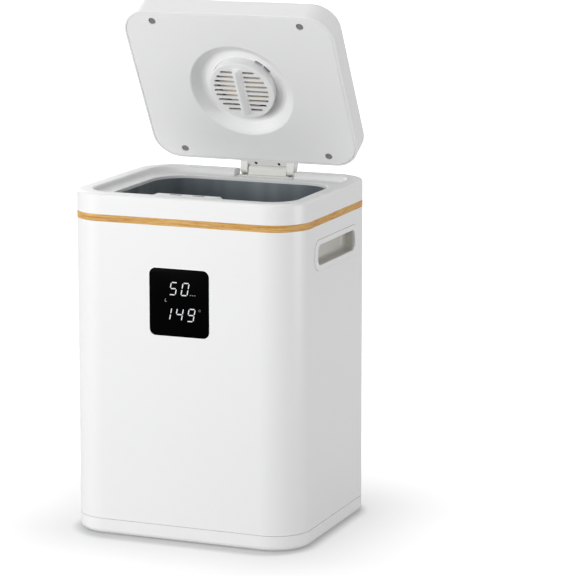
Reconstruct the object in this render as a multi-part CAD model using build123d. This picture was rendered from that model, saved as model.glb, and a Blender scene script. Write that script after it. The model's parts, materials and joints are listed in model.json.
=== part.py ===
from build123d import *
from math import cos, radians, sin, sqrt, tan
import os

# Heated towel bucket with its lid held open on a friction hinge.
# +X right, +Y to the hinge, +Z up. Millimetres. The pieces are drawn about the middle of the body, then
# moved as one so that the origin is on the floor under the middle of the whole with its lid open.

# body plan and heights
body_width = 300.0
body_depth = 256.0
body_corner = 46.0
rim_height = 420.0
foot_height = 1.2
base_seam = 20.0            # top of the base cover
seam_gap = 0.3              # shadow line above the base cover
base_edge_round = 6.0
band_drop = 33.5            # lower edge of the band, below the rim
band_height = 8.5
shell_wall = 2.8
fit_gap = 0.3               # between plastic pieces that slide into each other
snug_gap = 0.1              # between layers that are wrapped or glued

# top collar
rim_width = 19.0            # flat top of the rim, outside to recess wall
rim_outer_round = 3.5
rim_inner_round = 3.0
recess_corner = 32.0
ledge_drop = 8.0            # recess floor below the rim
ledge_round = 1.5
collar_wall = 3.0
tongue_thickness = 2.5
tongue_length = 8.0
collar_step = 4.0           # solid foot of the collar above the band
front_tab_width = 88.0
front_tab_slope = 8.0
front_tab_depth = 13.0

# towel well
liner_inset = 36.0          # inner face of the liner, in from the body outline
liner_corner = 40.0
liner_wall = 1.2
liner_floor = 86.0
liner_floor_round = 12.0
liner_drop = 3.8            # liner flange below the ledge
liner_flange = 12.0
lip_step = 1.5              # lip of the collar stands this far out from the liner face
liner_screw_inset = 28.0
heater_thickness = 1.5
heater_low = 110.0
heater_drop = 80.0          # top of the heater, below the rim
jacket_thickness = 9.0
jacket_low = 92.0
jacket_drop = 20.0          # top of the jacket, below the rim
pad_thickness = 14.0
sensor_hole = 12.0
sensor_spread = 32.0
cutoff_radius = 7.0
cutoff_height = 8.0
probe_length = 16.0
probe_width = 7.0
probe_height = 5.0

# base, feet and screws
floor_thickness = 3.0
foot_radius = 11.0
foot_pocket = 1.6
foot_inset = 40.0           # feet and base screws, in from both outlines
pad_radius = 14.0
pad_height = 5.0
boss_radius = 4.5
boss_height = 40.0
rib_thickness = 3.0
screw_radius = 1.5
screw_head_radius = 3.2
screw_head_height = 2.2
base_screw_length = 26.0

# power electronics
board_width = 130.0
board_depth = 84.0
board_thickness = 1.6
board_height = 16.0         # underside of the power board
board_hole_inset = 6.0
standoff_radius = 3.5
small_screw_radius = 1.2
small_head_radius = 2.6
small_head_height = 1.8
relay_size = (22.0, 17.0, 16.0)
transformer_size = (30.0, 26.0, 22.0)
capacitor_radius = 8.0
capacitor_height = 20.0

# display
display_width = 77.0
display_height = 81.5
display_corner = 8.0
display_drop = 125.4        # middle of the window, below the rim
lens_proud = 0.2
housing_border = 3.0        # housing overlaps the window by this much
housing_wall = 2.0
housing_depth = 12.0
housing_opening = 5.0       # lens border hidden by the housing frame
module_width = 60.0
module_height = 56.0
module_lift = 4.0
module_depth = 6.1
spring_radius = 2.5
spring_pitch = 20.0
spring_drop = 30.0
ear_reach = 8.0
ear_height = 8.0
ear_spread = 30.0
ear_depth = 7.2             # shell boss length behind the wall
ear_boss_radius = 3.2
ribbon_width = 16.0
ribbon_thickness = 0.8

# carrying handles
handle_drop = 69.5          # middle of the grips, below the rim
grip_length = 124.0
grip_height = 25.0
grip_corner = 9.0
cup_wall = 2.0
cup_depth = 19.0
frame_border = 9.0
frame_trim = 6.0            # the frame is this much less high than its border makes it
frame_thickness = 1.2
frame_round = 0.7

# cord outlet
gland_inset = 60.0          # middle of the gland, in from the left side
gland_z = 45.0
gland_bore = 3.7
gland_radius = 8.0
gland_flange_radius = 11.5
gland_flange = 2.4
gland_length = 14.0
nut_radius = 13.0
nut_thickness = 5.0

# lid, drawn closed and then opened about the hinge
lid_width = 276.0
lid_length = 225.0
lid_corner = 34.0
lid_thickness = 33.0
lid_edge_round = 7.0
lid_lip_round = 0.8
lid_wall = 2.6
lid_gap = 0.5               # closed lid above the rim
lid_open_angle = 60.0
lid_back_inset = 15.4       # back edge of the closed lid, in from the body outline
panel_thickness = 2.5
lid_screw_x = 97.0
lid_screw_edge = 14.5
pocket_radius = 6.5
pocket_depth = 7.0
counterbore_radius = 4.7
counterbore_depth = 4.6
plug_recess = 1.0
plug_thickness = 1.5
foam_gap = 0.6              # foam below the lid's top wall

# scent dish and its twist-off cap
dish_shift = 3.0             # middle of the dish, from the middle of the lid to the hinge
dish_radius = 67.0
dish_depth = 12.0
dish_floor_radius = 50.0
dish_skin = 2.2
cap_radius = 42.0
cap_gap = 0.4
cap_face = 1.8
cap_wall = 2.0
cap_length = 16.0
cap_edge_round = 1.5
slot_rows = 9
slot_pitch = 7.0
slot_width = 3.4
slot_circle = 36.0          # slots end on this circle
slot_inner = 6.4            # and start this far from the middle of the grip
grip_rib_width = 10.5
grip_rib_length = 67.0
grip_rib_height = 7.3
grip_rib_crest = 1.4         # width of the flat along the top of the grip
grip_rib_slope = 2.2         # its ends lean in by this much
lug_reach = 3.0
lug_thickness = 1.6
lug_arc = 11.0
lug_pair_spread = 16.0
lug_sets = 2
entry_angle = -45.0         # where the lugs pass through the dish floor
entry_margin = 3.0
cap_turn = 40.0
tray_gap = 1.3
tray_wall = 1.5
tray_depth = 9.8
tray_flange_radius = 52.0
felt_radius = 34.0
felt_thickness = 18.5
felt_crown = 9.0             # how far its rim lies below its middle

# hinge
hinge_offset = 11.5         # middle of the hinge, right of the middle of the body
hinge_inset = 4.0           # hinge axis, in from the back of the body
hinge_half = 36.0
notch_margin = 4.5
notch_skin = 2.5
knuckle_half = 25.5
knuckle_round = 5.0
knuckle_back = 0.5          # knuckle stops short of the back of the body
arm_gap = 1.0
arm_round = 6.5
arm_thickness = 16.5
strip_depth = 5.2
strip_thickness = 6.0
pin_radius = 2.0
pin_end_gap = 1.0
running_gap = 0.06
bush_wall = 1.34
press_gap = 0.02
sleeve_length = 41.0
sleeve_wall = 1.5
flange_thickness = 2.4
flange_pocket = 1.2
flange_front = 12.0         # hinge flange reaches this far in front of the axis
hinge_floor = 5.0
hinge_screw_x = 31.0
hinge_screw_y = -4.0        # from the hinge axis
hinge_screw_length = 9.0
hinge_head_height = 1.4
leaf_screw_x = 15.5
leaf_head_radius = 1.9
leaf_head_height = 1.2
leaf_screw_length = 10.0
lug_block_half = 24.0
lug_block_height = 8.0
lug_block_round = 1.2

# worked out from the values above
half_width = body_width / 2
half_depth = body_depth / 2
display_centre = rim_height - display_drop
handle_centre = rim_height - handle_drop
gland_x = gland_inset - half_width
band_low = rim_height - band_drop
band_high = band_low + band_height
shell_low = base_seam + seam_gap
ledge = rim_height - ledge_drop
recess_width = body_width - 2 * rim_width
recess_depth = body_depth - 2 * rim_width
liner_width = body_width - 2 * liner_inset
liner_depth = body_depth - 2 * liner_inset
liner_top = ledge - liner_drop
tongue_inset = shell_wall + fit_gap
heater_start = liner_wall + snug_gap
heater_high = rim_height - heater_drop
jacket_high = rim_height - jacket_drop
jacket_start = heater_start + heater_thickness + snug_gap
liner_under = liner_floor - liner_wall
base_top = foot_height + floor_thickness
head_seat = foot_height + foot_pocket + fit_gap
hinge_y = half_depth - hinge_inset
hinge_z = rim_height
lid_low = rim_height + lid_gap
lid_back = half_depth - lid_back_inset
lid_middle = lid_back - lid_length / 2
dish_middle = lid_middle + dish_shift
lid_high = lid_low + lid_thickness
hinge_axis = Axis((hinge_offset, hinge_y, hinge_z), (1, 0, 0))
arm_inner = knuckle_half + arm_gap
bush_radius = pin_radius + running_gap + bush_wall
sleeve_radius = pin_radius + press_gap + sleeve_wall
on_base = (Align.CENTER, Align.CENTER, Align.MIN)


# ---- shapes used by many pieces ----

# Upright prism of the body outline, drawn in by inset.
def body_prism(inset, low, high):
    corner = max(body_corner - inset, 4.0)
    outline = RectangleRounded(body_width - 2 * inset, body_depth - 2 * inset, corner)
    return extrude(Plane.XY.offset(low) * outline, high - low)


def body_ring(outer, inner, low, high):
    return body_prism(outer, low, high) - body_prism(inner, low, high)


# Upright prism of the liner's inner outline, grown outwards by offset.
def well_prism(offset, low, high):
    outline = RectangleRounded(liner_width + 2 * offset, liner_depth + 2 * offset, liner_corner + offset)
    return extrude(Plane.XY.offset(low) * outline, high - low)


def well_ring(inner, outer, low, high):
    return well_prism(outer, low, high) - well_prism(inner, low, high)


# Box given by its lowest and highest corners.
def span(x0, x1, y0, y1, z0, z1):
    return Pos((x0 + x1) / 2, (y0 + y1) / 2, (z0 + z1) / 2) * Box(x1 - x0, y1 - y0, z1 - z0)


def post(x, y, low, high, radius):
    return Pos(x, y, low) * Cylinder(radius, high - low, align=on_base)


def pipe(x, y, low, high, outer, inner):
    return post(x, y, low, high, outer) - post(x, y, low, high, inner)


# Cylinder along X between two places, centred on the hinge axis.
def axle(x0, x1, radius):
    lying = Plane(origin=(hinge_offset + x0, hinge_y, hinge_z), x_dir=(0, 1, 0), z_dir=(1, 0, 0))
    return extrude(lying * Circle(radius), x1 - x0)


# Cross-head screw that stands on its head, shank upwards.
def screw(x, y, z, head_radius, head_height, shank_radius, length):
    head = post(x, y, z, z + head_height, head_radius)
    head = chamfer(head.edges().group_by(Axis.Z)[0], head_height / 4)
    bar = head_radius * 1.2
    depth = head_height * 0.45
    cross = span(x - bar / 2, x + bar / 2, y - bar / 10, y + bar / 10, z, z + depth)
    cross += span(x - bar / 10, x + bar / 10, y - bar / 2, y + bar / 2, z, z + depth)
    return head - cross + post(x, y, z + head_height, z + head_height + length, shank_radius)


# Prism through a side wall: a rounded rectangle seen along X.
def side_prism(x0, x1, length, height, corner, centre_z):
    facing = Plane(origin=(x0, 0, centre_z), x_dir=(0, 1, 0), z_dir=(1, 0, 0))
    return extrude(facing * RectangleRounded(length, height, corner), x1 - x0)


# Prism through the front wall: a rounded rectangle seen along Y, towards +Y.
def front_prism(y0, y1, width, height, corner, centre_z):
    facing = Plane(origin=(0, y1, centre_z), x_dir=(1, 0, 0), z_dir=(0, -1, 0))
    return extrude(facing * RectangleRounded(width, height, corner), y1 - y0)


# Cylinder along Y through the back wall, at the cord outlet.
def outlet(y0, y1, radius):
    facing = Plane(origin=(gland_x, y0, gland_z), x_dir=(-1, 0, 0), z_dir=(0, 1, 0))
    return extrude(facing * Circle(radius), y1 - y0)


# Level edges at one height that lie within a rectangle about the middle.
def level_edges(part, height, half_x, half_y):
    found = []
    for edge in part.edges():
        box = edge.bounding_box()
        level = abs(box.min.Z - height) < 0.01 and abs(box.max.Z - height) < 0.01
        reach_x = max(abs(box.min.X), abs(box.max.X))
        reach_y = max(abs(box.min.Y), abs(box.max.Y))
        if level and reach_x < half_x and reach_y < half_y:
            found.append(edge)
    return found


def four(x, y):
    return [(side_x * x, side_y * y) for side_x in (-1, 1) for side_y in (-1, 1)]


def foot_places():
    return four(half_width - foot_inset, half_depth - foot_inset)


def liner_screw_places():
    ends = four(half_width / 3, half_depth - liner_screw_inset)
    sides = four(half_width - liner_screw_inset, half_depth / 3)
    return ends + sides


def board_screw_places():
    return four(board_width / 2 - board_hole_inset, board_depth / 2 - board_hole_inset)


# ---- base ----

def base_cover():
    cover = body_prism(0, foot_height, base_seam)
    cover = fillet(cover.edges().group_by(Axis.Z)[0], base_edge_round)
    inner = tongue_inset + tongue_thickness
    cover -= body_prism(inner, base_top, base_seam)
    cover -= body_ring(-1, tongue_inset, base_seam - seam_gap / 2, base_seam)
    cover += body_ring(tongue_inset, inner, base_seam - 1, base_seam + tongue_length)
    for x, y in foot_places():
        cover += post(x, y, base_top - 1, base_top + pad_height, pad_radius)
        cover -= post(x, y, foot_height, foot_height + foot_pocket, foot_radius + fit_gap)
        cover -= post(x, y, foot_height, head_seat + screw_head_height, screw_head_radius + fit_gap)
        cover -= post(x, y, foot_height, base_top + pad_height, screw_radius + fit_gap)
    for x, y in board_screw_places():
        cover += post(x, y, base_top - 1, board_height, standoff_radius)
        cover -= post(x, y, base_top, board_height, small_screw_radius)
    return cover


def rubber_feet():
    feet = []
    for x, y in foot_places():
        foot = post(x, y, 0, foot_height + foot_pocket, foot_radius)
        feet.append(chamfer(foot.edges().group_by(Axis.Z)[0], foot_height / 4))
    return feet


def base_screws():
    places = foot_places()
    sizes = (screw_head_radius, screw_head_height, screw_radius, base_screw_length)
    return [screw(x, y, head_seat, *sizes) for x, y in places]


# ---- outer shell and its trim ----

# Screw boss with a web that joins it to the rounded corner of the shell.
def corner_boss(x, y):
    low = base_top + pad_height + fit_gap
    boss = post(x, y, low, low + boss_height, boss_radius)
    side_x = 1 if x > 0 else -1
    side_y = 1 if y > 0 else -1
    corner_x = side_x * (half_width - body_corner)
    corner_y = side_y * (half_depth - body_corner)
    reach = body_corner - shell_wall / 2
    wall_x = corner_x + side_x * reach * cos(radians(45))
    wall_y = corner_y + side_y * reach * sin(radians(45))
    length = sqrt((wall_x - x) ** 2 + (wall_y - y) ** 2)
    web_low = base_seam + tongue_length + fit_gap
    web_height = low + boss_height - web_low
    web = Pos((wall_x + x) / 2, (wall_y + y) / 2, web_low) * Rot(0, 0, 45 * side_x * side_y)
    boss += web * Box(length, rib_thickness, web_height, align=on_base)
    return boss - post(x, y, low, low + boss_height, screw_radius + press_gap)


def display_boss(x, z):
    inner_face = -half_depth + shell_wall
    facing = Plane(origin=(x, inner_face - shell_wall / 2, z), x_dir=(1, 0, 0), z_dir=(0, 1, 0))
    boss = extrude(facing * Circle(ear_boss_radius), ear_depth + shell_wall / 2)
    deep = Plane(origin=(x, inner_face, z), x_dir=(1, 0, 0), z_dir=(0, 1, 0))
    return boss - extrude(deep * Circle(small_screw_radius + press_gap), ear_depth)


def ear_places():
    x = display_width / 2 + housing_border + ear_reach / 2
    return [(side * x, display_centre + lift) for side in (-1, 1) for lift in (-ear_spread, ear_spread)]


def outer_shell():
    shell = body_ring(0, shell_wall, shell_low, band_low)
    window = 2 * fit_gap
    shell -= front_prism(
        -half_depth - 1, -half_depth + shell_wall + 1,
        display_width + window, display_height + window, display_corner + fit_gap, display_centre,
    )
    grip = (grip_length + 2 * cup_wall + window, grip_height + 2 * cup_wall + window, grip_corner + cup_wall)
    shell -= side_prism(half_width - shell_wall - 1, half_width + 1, *grip, handle_centre)
    shell -= side_prism(-half_width - 1, -half_width + shell_wall + 1, *grip, handle_centre)
    shell -= outlet(half_depth - shell_wall - 1, half_depth + 1, gland_radius + fit_gap)
    for x, y in foot_places():
        shell += corner_boss(x, y)
    for x, z in ear_places():
        shell += display_boss(x, z)
    return shell


def trim_band():
    return body_ring(0, shell_wall, band_low, band_high)


# ---- top collar ----

def front_tab():
    half = front_tab_width / 2
    facing = Plane(origin=(0, -recess_depth / 2 + front_tab_depth, 0), x_dir=(1, 0, 0), z_dir=(0, -1, 0))
    low = half + front_tab_slope / 2
    high = half - front_tab_slope / 2
    outline = Polygon((-low, ledge), (low, ledge), (high, rim_height), (-high, rim_height), align=None)
    tab = extrude(facing * outline, front_tab_depth + rim_inner_round + 1)
    inner_top = tab.edges().filter_by(Axis.X).group_by(Axis.Z)[-1].sort_by(Axis.Y)[-1]
    return fillet(inner_top, ledge_round)


def collar_blank():
    blank = body_prism(0, band_high, rim_height)
    return fillet(blank.edges().group_by(Axis.Z)[-1], rim_outer_round)


def recess_cutter():
    outline = RectangleRounded(recess_width, recess_depth, recess_corner)
    cutter = extrude(Plane.XY.offset(ledge) * outline, ledge_drop + 1)
    return fillet(cutter.edges().group_by(Axis.Z)[0], rim_inner_round)


def hinge_screw_tip():
    return ledge - flange_pocket + flange_thickness - hinge_head_height - hinge_screw_length


# Thick floor and side skins of the gap in the rim that the hinge stands in.
def hinge_bay(blank):
    half = hinge_half + notch_margin + notch_skin
    low = ledge - hinge_floor
    left = hinge_offset - half
    right = hinge_offset + half
    block = span(left, right, recess_depth / 2 + rim_inner_round, half_depth, low, rim_height)
    front = recess_depth / 2 - rim_inner_round
    block = block & blank
    block += span(hinge_offset - half, hinge_offset + half, front, half_depth - 1, low, ledge)
    for side in (-1, 1):
        x = hinge_offset + side * hinge_screw_x
        block += post(x, hinge_y + hinge_screw_y, hinge_screw_tip() - notch_skin, low, boss_radius)
    return block


def hinge_bay_cut():
    half = hinge_half + notch_margin
    left = hinge_offset - half
    right = hinge_offset + half
    cut = span(left, right, recess_depth / 2 - rim_inner_round, half_depth + 1, ledge, rim_height + 1)
    half = hinge_half + fit_gap
    left = hinge_offset - half
    right = hinge_offset + half
    front = hinge_y - flange_front - fit_gap
    cut += span(left, right, front, half_depth + 1, ledge - flange_pocket, ledge + 1)
    for side in (-1, 1):
        x = hinge_offset + side * hinge_screw_x
        hole = small_screw_radius + press_gap
        cut += post(x, hinge_y + hinge_screw_y, hinge_screw_tip() - fit_gap, ledge, hole)
    return cut


def top_collar():
    blank = collar_blank()
    collar = blank - recess_cutter()
    near = half_width - rim_width + 1, half_depth - rim_width + 1
    collar = fillet(level_edges(collar, rim_height, *near), rim_inner_round)
    collar -= well_prism(lip_step, band_low, ledge + 1)
    near = liner_width / 2 + lip_step + 1, liner_depth / 2 + lip_step + 1
    collar = fillet(level_edges(collar, ledge, *near), ledge_round)
    skirt = lip_step + collar_wall
    collar -= body_ring(collar_wall, rim_width - collar_wall, band_high, rim_height - collar_wall)
    collar -= body_prism(collar_wall, band_high, ledge - collar_wall) - well_prism(skirt, band_low, ledge)
    collar -= well_prism(skirt + 1, band_low, liner_top)
    collar += body_ring(0, tongue_inset + tongue_thickness, band_high, band_high + collar_step)
    collar += body_ring(tongue_inset, tongue_inset + tongue_thickness, band_low - tongue_length, band_high)
    for x, y in liner_screw_places():
        collar += post(x, y, liner_top, ledge - collar_wall, small_head_radius + 1)
        collar -= post(x, y, liner_top, ledge - 1, small_screw_radius + press_gap)
    collar += hinge_bay(blank)
    collar -= hinge_bay_cut()
    return collar + front_tab()


# ---- towel well ----

def inner_liner():
    outside = well_prism(liner_wall, liner_under, liner_top)
    outside = fillet(outside.edges().group_by(Axis.Z)[0], liner_floor_round + liner_wall)
    outside += well_prism(liner_flange, liner_top - liner_wall, liner_top)
    inside = well_prism(0, liner_floor, liner_top)
    inside = fillet(inside.edges().group_by(Axis.Z)[0], liner_floor_round)
    liner = outside - inside
    for x, y in liner_screw_places():
        liner -= post(x, y, liner_top - liner_wall, liner_top, small_screw_radius + fit_gap)
    return liner


def liner_screws():
    seat = liner_top - liner_wall - small_head_height
    length = liner_drop
    sizes = (small_head_radius, small_head_height, small_screw_radius, length)
    return [screw(x, y, seat, *sizes) for x, y in liner_screw_places()]


def heater_wrap():
    return well_ring(heater_start, heater_start + heater_thickness, heater_low, heater_high)


def insulation_jacket():
    jacket = well_ring(jacket_start, jacket_start + jacket_thickness, jacket_low, jacket_high)
    return jacket


def bottom_insulation():
    top = liner_under - snug_gap
    pad = well_prism(-liner_floor_round, top - pad_thickness, top)
    for side in (-1, 1):
        pad -= post(side * sensor_spread, 0, top - pad_thickness, top, sensor_hole)
    return pad


def thermal_cutoff():
    top = liner_under - snug_gap
    cap = post(sensor_spread, 0, top - cutoff_height, top, cutoff_radius)
    flange = post(sensor_spread, 0, top - 1, top, cutoff_radius + 2)
    pins = span(sensor_spread - 4, sensor_spread - 3, -2, 2, top - cutoff_height - 6, top - cutoff_height)
    pins += span(sensor_spread + 3, sensor_spread + 4, -2, 2, top - cutoff_height - 6, top - cutoff_height)
    return cap + flange + pins


def temperature_sensor():
    top = liner_under - snug_gap
    probe = Box(probe_length, probe_width, probe_height, align=on_base)
    probe = fillet(probe.edges().filter_by(Axis.Z), 2)
    return Pos(-sensor_spread, 0, top - probe_height) * probe


# ---- power electronics ----

def power_board():
    high = board_height + board_thickness
    board = span(-board_width / 2, board_width / 2, -board_depth / 2, board_depth / 2, board_height, high)
    for x, y in board_screw_places():
        board -= post(x, y, board_height, high, small_screw_radius + fit_gap)
    return board


def power_board_screws():
    sizes = (small_head_radius, small_head_height, small_screw_radius, board_height - base_top)
    screws = []
    for x, y in board_screw_places():
        upright = screw(0, 0, 0, *sizes)
        top = board_height + board_thickness + small_head_height
        screws.append(Pos(x, y, top) * Rot(180, 0, 0) * upright)
    return screws


# Block on the power board, with its size and the middle of its base.
def board_block(size, x, y):
    seat = board_height + board_thickness
    block = span(x - size[0] / 2, x + size[0] / 2, y - size[1] / 2, y + size[1] / 2, seat, seat + size[2])
    return fillet(block.edges().filter_by(Axis.Z), 1)


def power_relay():
    return board_block(relay_size, board_width / 4, -board_depth / 5)


def transformer():
    return board_block(transformer_size, -board_width / 5, board_depth / 6)


def filter_capacitor():
    seat = board_height + board_thickness
    can = post(board_width / 4, board_depth / 5, seat, seat + capacitor_height, capacitor_radius)
    return fillet(can.edges().group_by(Axis.Z)[-1], 1)


# ---- display ----

def lens_back():
    return -half_depth + shell_wall


def display_lens():
    lens = front_prism(
        -half_depth - lens_proud, lens_back(), display_width, display_height, display_corner, display_centre
    )
    return chamfer(lens.edges().group_by(Axis.Y)[0], lens_proud / 2)


def display_housing():
    width = display_width + 2 * housing_border
    height = display_height + 2 * housing_border
    front = lens_back() + snug_gap
    back = front + housing_depth
    frame = front_prism(front, back, width, height, display_corner, display_centre)
    inner = display_corner - housing_wall
    hollow = width - 2 * housing_wall, height - 2 * housing_wall
    frame -= front_prism(front + housing_wall, back, *hollow, inner, display_centre)
    opening = display_width - 2 * housing_opening, display_height - 2 * housing_opening
    frame -= front_prism(front, back, *opening, inner, display_centre)
    ear_front = lens_back() + ear_depth
    for x, z in ear_places():
        side = 1 if x > 0 else -1
        edge = side * (width / 2 - housing_wall / 2)
        tip = side * (width / 2 + ear_reach)
        frame += span(
            min(edge, tip), max(edge, tip), ear_front, ear_front + housing_wall,
            z - ear_height / 2, z + ear_height / 2,
        )
        hole = Plane(origin=(x, ear_front, z), x_dir=(1, 0, 0), z_dir=(0, 1, 0))
        frame -= extrude(hole * Circle(small_screw_radius + fit_gap), housing_wall)
    return frame


def display_screws():
    screws = []
    for x, z in ear_places():
        upright = screw(0, 0, 0, small_head_radius, small_head_height, small_screw_radius, ear_depth)
        back = lens_back() + ear_depth + housing_wall + small_head_height
        screws.append(Pos(x, back, z) * Rot(90, 0, 0) * upright)
    return screws


def module_back():
    return lens_back() + snug_gap + module_depth


def led_module():
    centre = display_centre + module_lift
    block = front_prism(lens_back() + snug_gap, module_back(), module_width, module_height, 2, centre)
    return block


def touch_springs():
    springs = []
    for step in (-1, 0, 1):
        facing = Plane(
            origin=(step * spring_pitch, lens_back() + snug_gap, display_centre - spring_drop),
            x_dir=(1, 0, 0), z_dir=(0, 1, 0),
        )
        springs.append(extrude(facing * Circle(spring_radius), module_depth))
    return springs


def display_board():
    inner = 2 * (housing_border - housing_wall) - 2 * fit_gap
    front = module_back() + snug_gap
    corner = display_corner - housing_wall
    return front_prism(
        front, front + board_thickness, display_width + inner, display_height + inner, corner, display_centre
    )


# Flat cable from the display board down the inside of the front wall to the power board.
def display_ribbon():
    face = module_back() + 2 * snug_gap + board_thickness
    half = ribbon_width / 2
    top = display_centre - display_height / 4
    seat = board_height + board_thickness
    drop = face + housing_depth - module_depth
    cable = span(-half, half, face, drop + ribbon_thickness, top - ribbon_thickness, top)
    cable += span(-half, half, drop, drop + ribbon_thickness, seat, top)
    cable += span(-half, half, drop, -board_depth / 2 + 2 * board_hole_inset, seat, seat + ribbon_thickness)
    return cable


# ---- handles and cord outlet ----

# Recessed grip on the right side; the left one is its mirror image.
def handle_cup():
    outer = (grip_length + 2 * cup_wall, grip_height + 2 * cup_wall, grip_corner + cup_wall)
    border = 2 * frame_border
    frame = (grip_length + border, grip_height + border - frame_trim, grip_corner + frame_border / 2)
    cup = side_prism(half_width - cup_depth, half_width, *outer, handle_centre)
    lip = side_prism(half_width, half_width + frame_thickness, *frame, handle_centre)
    lip = fillet(lip.edges().group_by(Axis.X)[-1], frame_round)
    hollow = side_prism(
        half_width - cup_depth + cup_wall, half_width + frame_thickness,
        grip_length, grip_height, grip_corner, handle_centre,
    )
    hollow = fillet(hollow.edges().group_by(Axis.X)[0], grip_corner - 2)
    cup = cup + lip - hollow
    outermost = cup.edges().group_by(Axis.X)[-1]
    mouth = [edge for edge in outermost if edge.bounding_box().size.Y < grip_length + 1]
    inner = [edge for edge in mouth if abs(edge.center().Z - handle_centre) < grip_height / 2 + 0.1]
    return fillet(inner, frame_round)


def cord_gland():
    out = half_depth + gland_flange
    gland = outlet(half_depth, out, gland_flange_radius)
    gland = fillet(gland.edges().group_by(Axis.Y)[-1], 1)
    gland += outlet(out - gland_length, half_depth, gland_radius)
    return gland - outlet(out - gland_length, out, gland_bore)


def gland_nut():
    inner = half_depth - shell_wall - snug_gap
    facing = Plane(origin=(gland_x, inner - nut_thickness, gland_z), x_dir=(1, 0, 0), z_dir=(0, 1, 0))
    nut = extrude(facing * RegularPolygon(nut_radius, 6), nut_thickness)
    return nut - outlet(inner - nut_thickness, inner, gland_radius + press_gap)


# ---- hinge ----

# Profile in the Y-Z plane at one X, extruded to another.
def hinge_slice(x0, x1, sketch):
    facing = Plane(origin=(hinge_offset + x0, 0, 0), x_dir=(0, 1, 0), z_dir=(1, 0, 0))
    return extrude(facing * sketch, x1 - x0)


def hinge_base():
    low = ledge - flange_pocket
    back = half_depth - knuckle_back
    front = hinge_y - knuckle_round
    body = Pos((front + back) / 2, (low + hinge_z) / 2) * Rectangle(back - front, hinge_z - low)
    body += Pos(hinge_y, hinge_z) * Circle(knuckle_round)
    base = hinge_slice(-knuckle_half, knuckle_half, body)
    flange_back = hinge_y - flange_front
    base += span(
        hinge_offset - hinge_half, hinge_offset + hinge_half, flange_back, back, low, low + flange_thickness
    )
    base -= axle(-knuckle_half, knuckle_half, pin_radius + press_gap)
    base -= axle(-knuckle_half, -knuckle_half + sleeve_length, sleeve_radius + press_gap)
    for side in (-1, 1):
        x = hinge_offset + side * hinge_screw_x
        y = hinge_y + hinge_screw_y
        top = low + flange_thickness
        base -= post(x, y, top - hinge_head_height, top, small_head_radius + fit_gap)
        base -= post(x, y, low, top, small_screw_radius + fit_gap)
    return base


def hinge_base_screws():
    screws = []
    for side in (-1, 1):
        sizes = small_head_radius, hinge_head_height, small_screw_radius, hinge_screw_length
        upright = screw(0, 0, 0, *sizes)
        top = ledge - flange_pocket + flange_thickness
        place = Pos(hinge_offset + side * hinge_screw_x, hinge_y + hinge_screw_y, top)
        screws.append(place * Rot(180, 0, 0) * upright)
    return screws


def pin_half():
    return hinge_half - pin_end_gap


def hinge_pin():
    pin = axle(-pin_half(), pin_half(), pin_radius)
    return chamfer(pin.edges().group_by(Axis.X)[0] + pin.edges().group_by(Axis.X)[-1], pin_radius / 5)


def friction_sleeve():
    low = -knuckle_half + snug_gap
    high = -knuckle_half + sleeve_length - snug_gap
    return axle(low, high, sleeve_radius) - axle(low, high, pin_radius + press_gap)


def leaf_arm(x0, x1):
    back = lid_back + snug_gap
    root = Pos(back, lid_low) * Rectangle(strip_depth + 0.6, arm_thickness, align=(Align.MIN, Align.MIN))
    eye = Pos(hinge_y, hinge_z) * Circle(arm_round)
    return hinge_slice(x0, x1, make_hull(root.edges() + eye.edges()))


def hinge_leaf():
    back = lid_back + snug_gap
    leaf = span(
        hinge_offset - hinge_half, hinge_offset + hinge_half,
        back, back + strip_depth, lid_low, lid_low + strip_thickness,
    )
    leaf += leaf_arm(-hinge_half, -arm_inner)
    leaf += leaf_arm(arm_inner, hinge_half)
    blind = pin_half() + snug_gap
    leaf -= axle(-blind, -arm_inner, bush_radius + press_gap)
    leaf -= axle(arm_inner, blind, bush_radius + press_gap)
    for x in leaf_screw_places():
        y = lid_back + snug_gap + strip_depth / 2
        leaf -= post(x, y, lid_low, lid_low + leaf_head_height, leaf_head_radius + snug_gap)
        leaf -= post(x, y, lid_low, lid_low + strip_thickness, small_screw_radius + snug_gap)
    return leaf


def hinge_bushes():
    bushes = []
    for x0, x1 in ((-pin_half(), -arm_inner - snug_gap), (arm_inner + snug_gap, pin_half())):
        bushes.append(axle(x0, x1, bush_radius) - axle(x0, x1, pin_radius + running_gap))
    return bushes


def leaf_screw_places():
    return (hinge_offset - leaf_screw_x, hinge_offset + leaf_screw_x)


def leaf_screws():
    y = lid_back + snug_gap + strip_depth / 2
    sizes = (leaf_head_radius, leaf_head_height, small_screw_radius, leaf_screw_length)
    return [screw(x, y, lid_low, *sizes) for x in leaf_screw_places()]


# ---- lid ----

# Prism of the lid outline, drawn in by inset, between two depths from the inner face.
def lid_prism(inset, near, far):
    outline = RectangleRounded(lid_width - 2 * inset, lid_length - 2 * inset, max(lid_corner - inset, 4.0))
    return extrude(Plane.XY.offset(lid_low + near) * Pos(0, lid_middle) * outline, far - near)


def lid_post(x, y, near, far, radius):
    return post(x, y, lid_low + near, lid_low + far, radius)


def lid_screw_places():
    rows = (lid_back - lid_screw_edge, lid_back - lid_length + lid_screw_edge)
    return [(side * lid_screw_x, y) for side in (-1, 1) for y in rows]


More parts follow.
